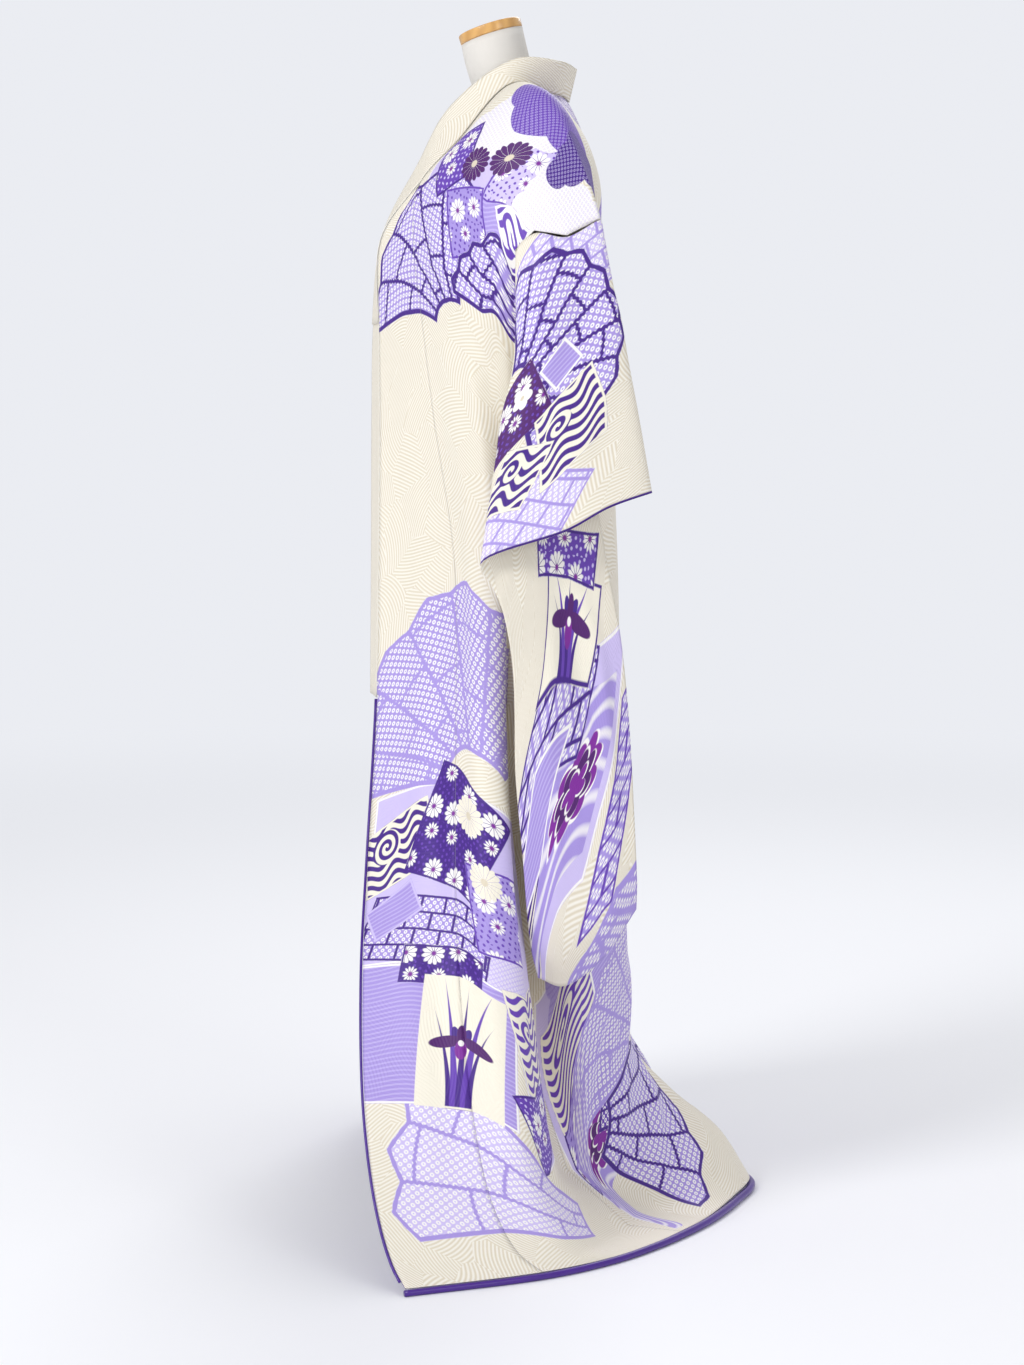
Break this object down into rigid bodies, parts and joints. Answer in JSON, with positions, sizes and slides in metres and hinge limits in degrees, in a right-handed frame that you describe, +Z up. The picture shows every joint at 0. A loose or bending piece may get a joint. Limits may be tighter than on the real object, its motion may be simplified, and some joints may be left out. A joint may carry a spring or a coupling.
{
  "type": "furisode kimono on a limbless dress form",
  "caption": "Long-sleeved silk kimono with a trailing padded hem, worn open in front by a neck-high dress form that stands on a round base.",
  "frame": {"origin": "centre of the underside of the stand's round base, at floor level", "axes": "+Z up, -Y towards the front of the garment, +X towards the wearer's left"},
  "size_m": [0.949, 0.4981, 1.4888],
  "materials": {
    "silk_body": "woven satin sheen, printed",
    "silk_gore": "woven satin sheen, printed",
    "silk_collar": "woven satin sheen",
    "silk_sleeve": "woven satin sheen, printed",
    "lining_purple": "satin",
    "form_linen": "matt plain weave",
    "cap_wood": "clear satin varnish",
    "stand_metal": "satin"
  },
  "bodies": {
    "root": {"body_left": "silk_body", "body_right": "silk_body", "gore_left": "silk_gore", "gore_right": "silk_gore", "edge_lining_left": "lining_purple", "edge_lining_right": "lining_purple", "collar": "silk_collar", "over_collar": "silk_collar", "sleeve_left": "silk_sleeve", "sleeve_right": "silk_sleeve", "hem_roll": "lining_purple", "form_torso": "form_linen", "form_cap": "cap_wood", "stand_pole": "stand_metal", "stand_base": "stand_metal"}
  },
  "joints": []
}
